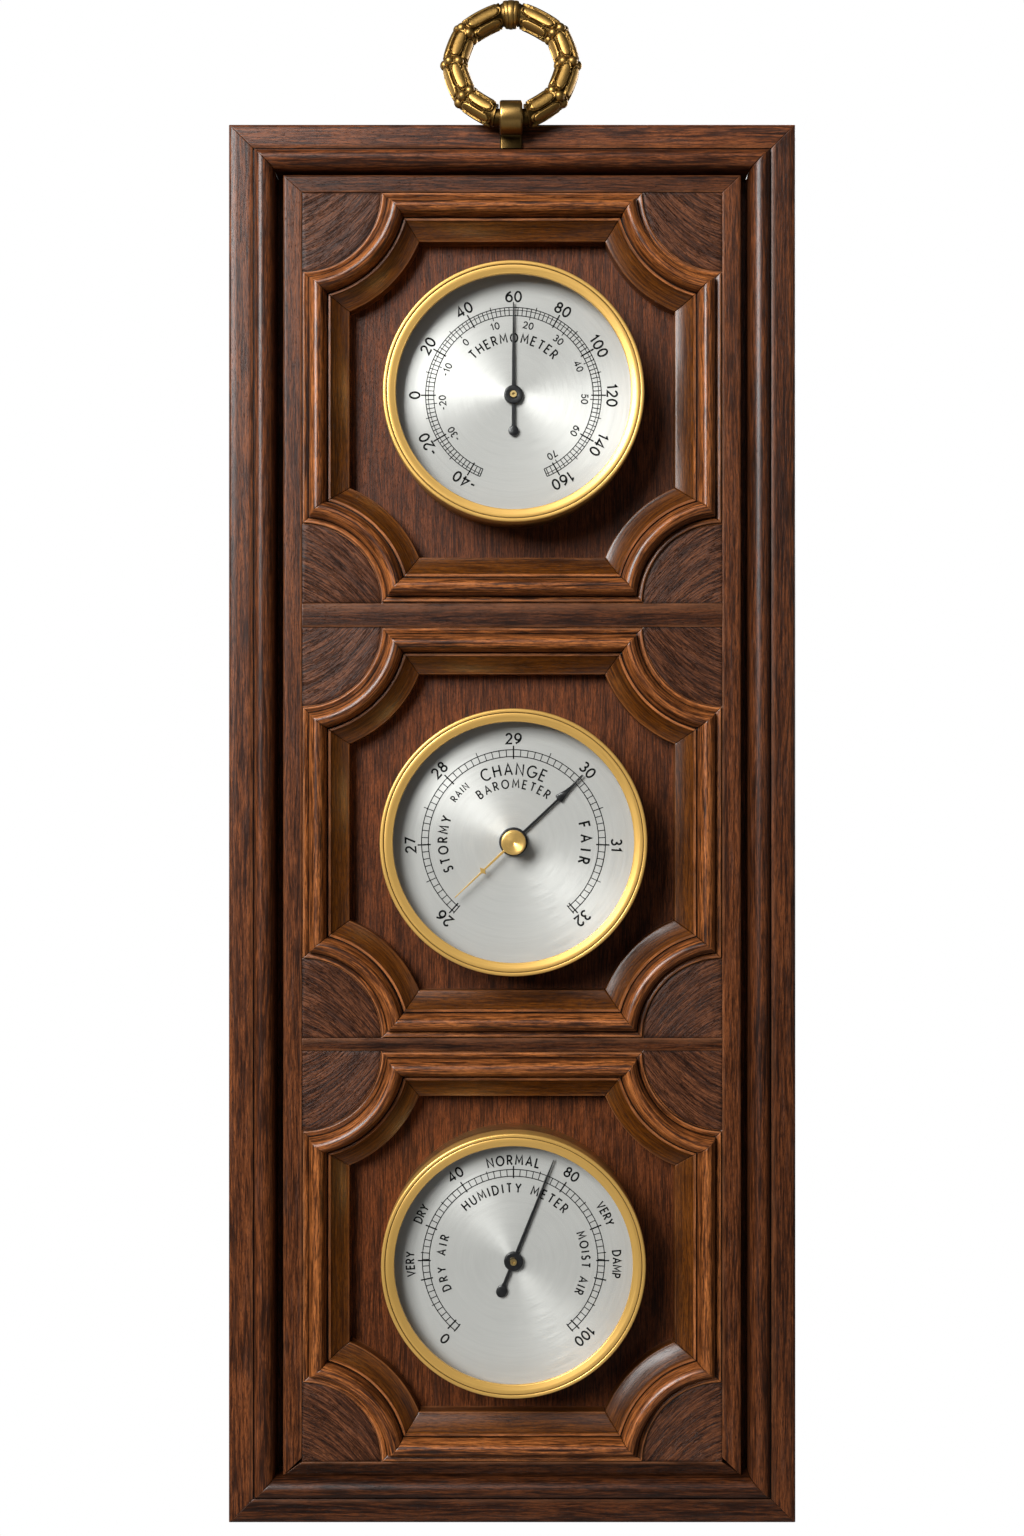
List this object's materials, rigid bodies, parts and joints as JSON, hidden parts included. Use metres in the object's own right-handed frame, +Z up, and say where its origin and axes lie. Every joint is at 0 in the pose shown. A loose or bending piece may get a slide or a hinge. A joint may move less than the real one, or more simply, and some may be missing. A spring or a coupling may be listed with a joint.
{
  "type": "weather station",
  "caption": "Framed wooden wall weather station with a thermometer, an aneroid barometer and a humidity meter in brass bezels, hung by a keyhole plate or a brass ring.",
  "frame": {"origin": "centre of the keyhole's round end, on the plane of the frame's back that lies on the wall", "axes": "+X to the right as seen from the front, +Y into the wall, +Z up the board"},
  "size_m": [0.21, 0.0363, 0.5649],
  "materials": {
    "walnut": "dark walnut stain, satin lacquer",
    "panel_walnut": "dark walnut stain, satin lacquer, vertical grain",
    "spandrel_walnut": "dark walnut stain, coarse open grain",
    "old_brass": "antique brass, darkened in the grooves",
    "case_brass": "lacquered bronze brass, drawn",
    "bezel_brass": "satin gold brass with a polished lip",
    "movement_brass": "plain machined brass",
    "dial_silver": "circular brushed silver with black printing",
    "glass": "clear flat glass",
    "black_paint": "satin black enamel",
    "steel": "plain plated steel",
    "spring_steel": "blued spring steel",
    "capsule_silver": "nickel silver, ringed",
    "coil_film": "metal strip faced with humidity sensitive paper",
    "knob_brass": "spun polished brass"
  },
  "bodies": {
    "station": {"outer_rail_top": "walnut", "outer_rail_bottom": "walnut", "outer_stile_left": "walnut", "outer_stile_right": "walnut", "back_panel": "panel_walnut", "field_stile_left": "walnut", "field_stile_right": "walnut", "field_rail_top": "walnut", "cross_rail_upper": "walnut", "cross_rail_lower": "walnut", "field_rail_bottom": "walnut", "thermometer_straight_moulding": "walnut", "thermometer_scooped_moulding": "walnut", "barometer_straight_moulding": "walnut", "barometer_scooped_moulding": "walnut", "hygrometer_straight_moulding": "walnut", "hygrometer_scooped_moulding": "walnut", "corner_spandrels": "spandrel_walnut", "keyhole_plate": "steel", "keyhole_screws": "movement_brass", "hanger_strap": "old_brass", "case_screws": "steel", "bridge_screws": "steel", "thermometer_case": "case_brass", "thermometer_bezel": "bezel_brass", "thermometer_lens": "glass", "thermometer_dial": "dial_silver", "thermometer_bridge": "movement_brass", "barometer_case": "case_brass", "barometer_bezel": "bezel_brass", "barometer_lens": "glass", "barometer_dial": "dial_silver", "barometer_base_plate": "steel", "barometer_pillars": "movement_brass", "barometer_bridge": "movement_brass", "barometer_movement_screws": "steel", "aneroid_capsule": "capsule_silver", "hairspring": "spring_steel", "hygrometer_case": "case_brass", "hygrometer_bezel": "bezel_brass", "hygrometer_lens": "glass", "hygrometer_dial": "dial_silver", "hygrometer_bridge": "movement_brass"},
    "ring": {"hanger_ring": "old_brass"},
    "thermometer_hand": {"thermometer_arbor": "movement_brass", "thermometer_pointer": "black_paint"},
    "thermometer_regulator": {"thermometer_adjuster": "movement_brass", "bimetal_coil": "spring_steel"},
    "barometer_hand": {"barometer_arbor": "movement_brass", "barometer_pointer": "black_paint"},
    "sector": {"sector_gear": "movement_brass"},
    "rocker": {"rocking_shaft": "movement_brass"},
    "spring_lever": {"main_spring": "spring_steel"},
    "regulating_screw": {"capsule_adjusting_screw": "movement_brass"},
    "setting_hand": {"set_hand": "movement_brass", "set_knob": "knob_brass"},
    "hygrometer_hand": {"hygrometer_arbor": "movement_brass", "hygrometer_pointer": "black_paint"},
    "hygrometer_regulator": {"hygrometer_adjuster": "movement_brass", "humidity_coil": "coil_film"}
  },
  "joints": [
    {"name": "ring_swing", "type": "hinge", "parent": "station", "child": "ring", "pos_m": [-0.0004, -0.0282, 0.011], "axis": [1, 0, 0], "range_deg": [-22, 180]},
    {"name": "thermometer_pointer_turn", "type": "hinge", "parent": "station", "child": "thermometer_hand", "pos_m": [0.0005, -0.0266, -0.0904], "axis": [0, 1, 0], "range_deg": [-155, 155], "stiffness_Nm_per_rad": 0.0002},
    {"name": "thermometer_adjuster_turn", "type": "hinge", "parent": "station", "child": "thermometer_regulator", "pos_m": [0.0005, -0.011, -0.0904], "axis": [0, 1, 0], "range_deg": [-25, 25]},
    {"name": "sector_swing", "type": "hinge", "parent": "station", "child": "sector", "pos_m": [0.01425, -0.021, -0.2545], "axis": [0, 1, 0], "range_deg": [-9.1, 18.4]},
    {"name": "barometer_pointer_turn", "type": "hinge", "parent": "station", "child": "barometer_hand", "pos_m": [0.0005, -0.0266, -0.2545], "axis": [0, 1, 0], "range_deg": [-184.5, 91.5]},
    {"name": "rocking_shaft_turn", "type": "hinge", "parent": "station", "child": "rocker", "pos_m": [0.0155, -0.0142, -0.25635], "axis": [1, 0, 0], "range_deg": [-6.9, 13.7]},
    {"name": "main_spring_flex", "type": "hinge", "parent": "station", "child": "spring_lever", "pos_m": [-0.0255, -0.013, -0.2415], "axis": [0, 0, -1], "range_deg": [-0.65, 1.3]},
    {"name": "adjusting_screw_turn", "type": "hinge", "parent": "station", "child": "regulating_screw", "pos_m": [-0.0085, -0.01, -0.2415], "axis": [0, 1, 0], "continuous": true},
    {"name": "set_hand_turn", "type": "hinge", "parent": "station", "child": "setting_hand", "pos_m": [0.0005, -0.03, -0.2545], "axis": [0, 1, 0], "continuous": true},
    {"name": "hygrometer_pointer_turn", "type": "hinge", "parent": "station", "child": "hygrometer_hand", "pos_m": [0.0005, -0.0266, -0.4085], "axis": [0, 1, 0], "range_deg": [-160, 115], "stiffness_Nm_per_rad": 0.0002},
    {"name": "hygrometer_adjuster_turn", "type": "hinge", "parent": "station", "child": "hygrometer_regulator", "pos_m": [0.0005, -0.011, -0.4085], "axis": [0, 1, 0], "range_deg": [-25, 25]}
  ],
  "couplings": [
    {"joint": "barometer_pointer_turn", "follows": "sector_swing", "ratio": -10},
    {"joint": "rocking_shaft_turn", "follows": "sector_swing", "ratio": 0.735},
    {"joint": "main_spring_flex", "follows": "sector_swing", "ratio": 0.0687}
  ]
}
